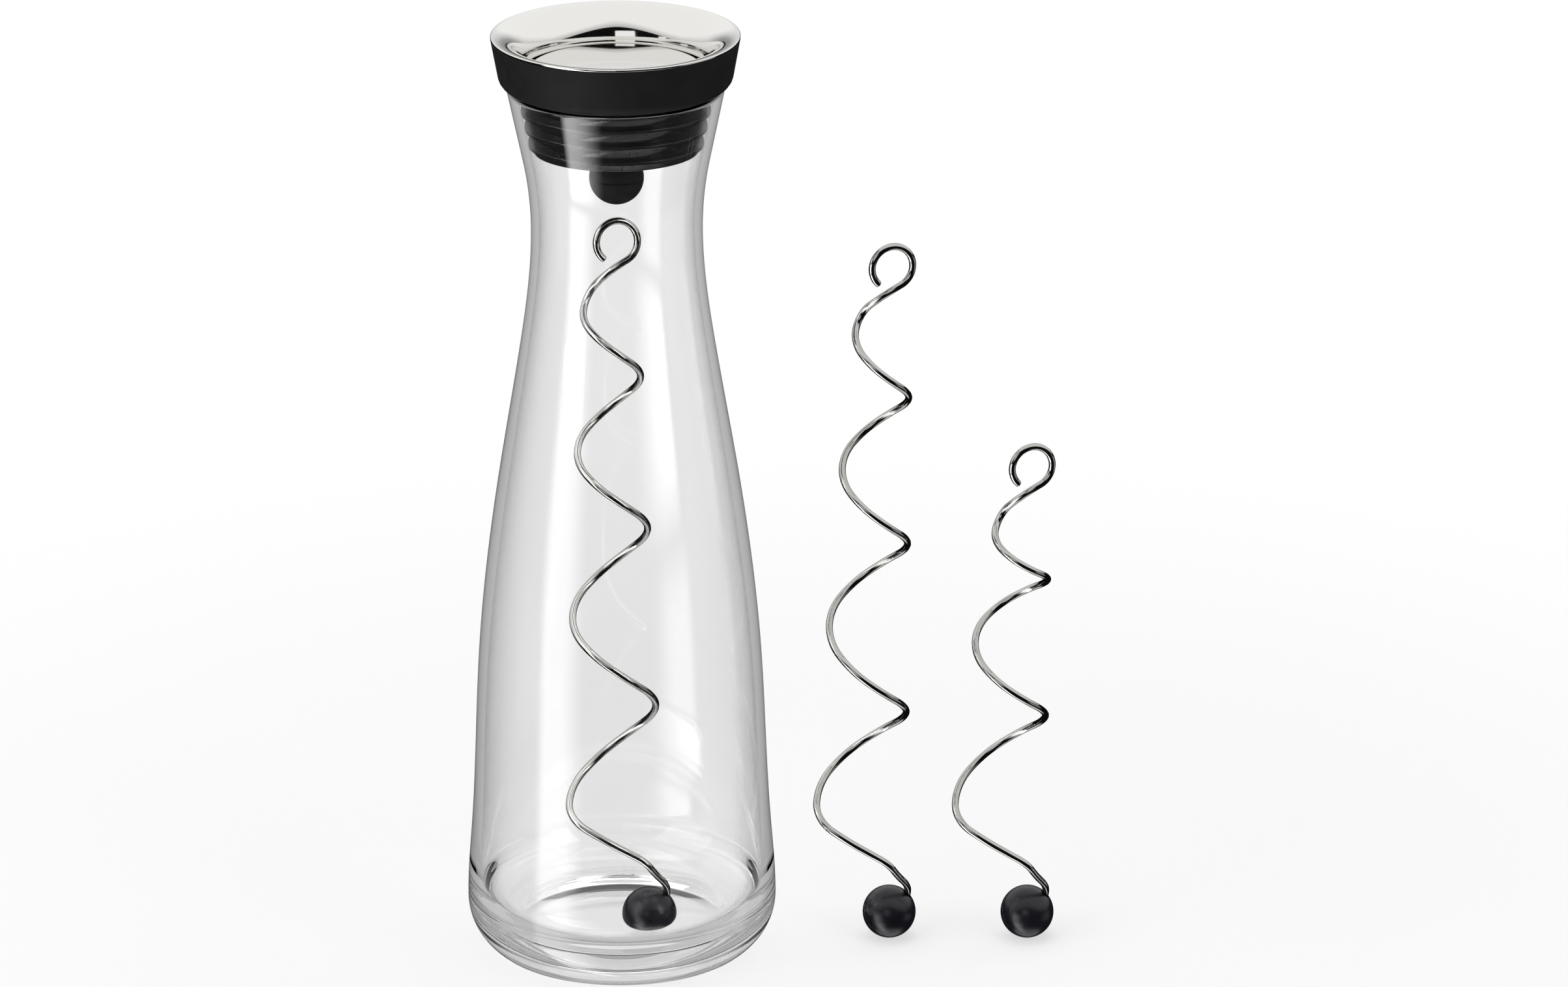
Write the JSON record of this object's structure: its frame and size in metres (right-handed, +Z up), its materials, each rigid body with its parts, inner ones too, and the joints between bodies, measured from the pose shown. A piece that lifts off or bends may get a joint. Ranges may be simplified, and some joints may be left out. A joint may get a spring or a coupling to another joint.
{
  "type": "fruit infuser pitcher",
  "caption": "Slender clear glass carafe with a waisted neck, a push-in pouring closure whose steel plate tips open, and spiral wire fruit skewers on ball feet.",
  "frame": {"origin": "centre of the carafe's foot, on the surface that it stands on", "axes": "+Z up the carafe's axis, -Y towards the viewer of the picture, +X to the right, towards the spare skewers and the side that the plate opens on"},
  "size_m": [0.1849, 0.097, 0.2963],
  "materials": {
    "clear_glass": "clear blown glass, fire polished",
    "polished_steel": "mirror polished stainless steel",
    "polished_wire": "polished drawn stainless wire",
    "black_silicone": "matte black moulded silicone",
    "black_plastic": "glossy black moulded plastic",
    "ball_plastic": "satin black moulded silicone"
  },
  "bodies": {
    "carafe": {"glass_carafe": "clear_glass"},
    "closure": {"rib_seal": "black_silicone", "collar_ring": "black_silicone", "valve_cage": "black_plastic", "pouring_funnel": "polished_steel"},
    "valve": {"closing_plate": "polished_steel", "plate_carrier": "black_plastic", "plate_gasket": "black_silicone", "valve_stem": "polished_steel", "stem_nut": "polished_steel", "weight_core": "polished_steel", "weight_cover": "black_silicone"},
    "inner_skewer": {"inner_skewer_wire": "polished_wire", "inner_skewer_ball": "ball_plastic"},
    "long_ball": {"long_skewer_ball": "ball_plastic"},
    "long_wire": {"long_skewer_wire": "polished_wire"},
    "short_ball": {"short_skewer_ball": "ball_plastic"},
    "short_wire": {"short_skewer_wire": "polished_wire"}
  },
  "joints": [
    {"name": "closure_lift", "type": "slide", "parent": "carafe", "child": "closure", "axis": [0, 0, 1], "range_m": [0, 0.305]},
    {"name": "valve_tilt", "type": "hinge", "parent": "closure", "child": "valve", "pos_m": [-0.0258, 0, 0.283], "axis": [0, -1, 0], "range_deg": [0, 15]},
    {"name": "inner_skewer_lift", "type": "slide", "parent": "carafe", "child": "inner_skewer", "axis": [0, 0.1217, 0.9926], "range_m": [0, 0.28]},
    {"name": "long_skewer_lift", "type": "slide", "parent": "carafe", "child": "long_ball", "axis": [0, 0, 1], "range_m": [0, 0.06]},
    {"name": "long_wire_pull", "type": "slide", "parent": "long_ball", "child": "long_wire", "axis": [0.1096, -0.4683, 0.8768], "range_m": [0, 0.012]},
    {"name": "short_skewer_lift", "type": "slide", "parent": "carafe", "child": "short_ball", "axis": [0, 0, 1], "range_m": [0, 0.06]},
    {"name": "short_wire_pull", "type": "slide", "parent": "short_ball", "child": "short_wire", "axis": [0.1096, -0.4683, 0.8768], "range_m": [0, 0.012]}
  ],
  "couplings": [
    {"joint": "inner_skewer_lift", "follows": "closure_lift", "ratio": 0.9}
  ]
}
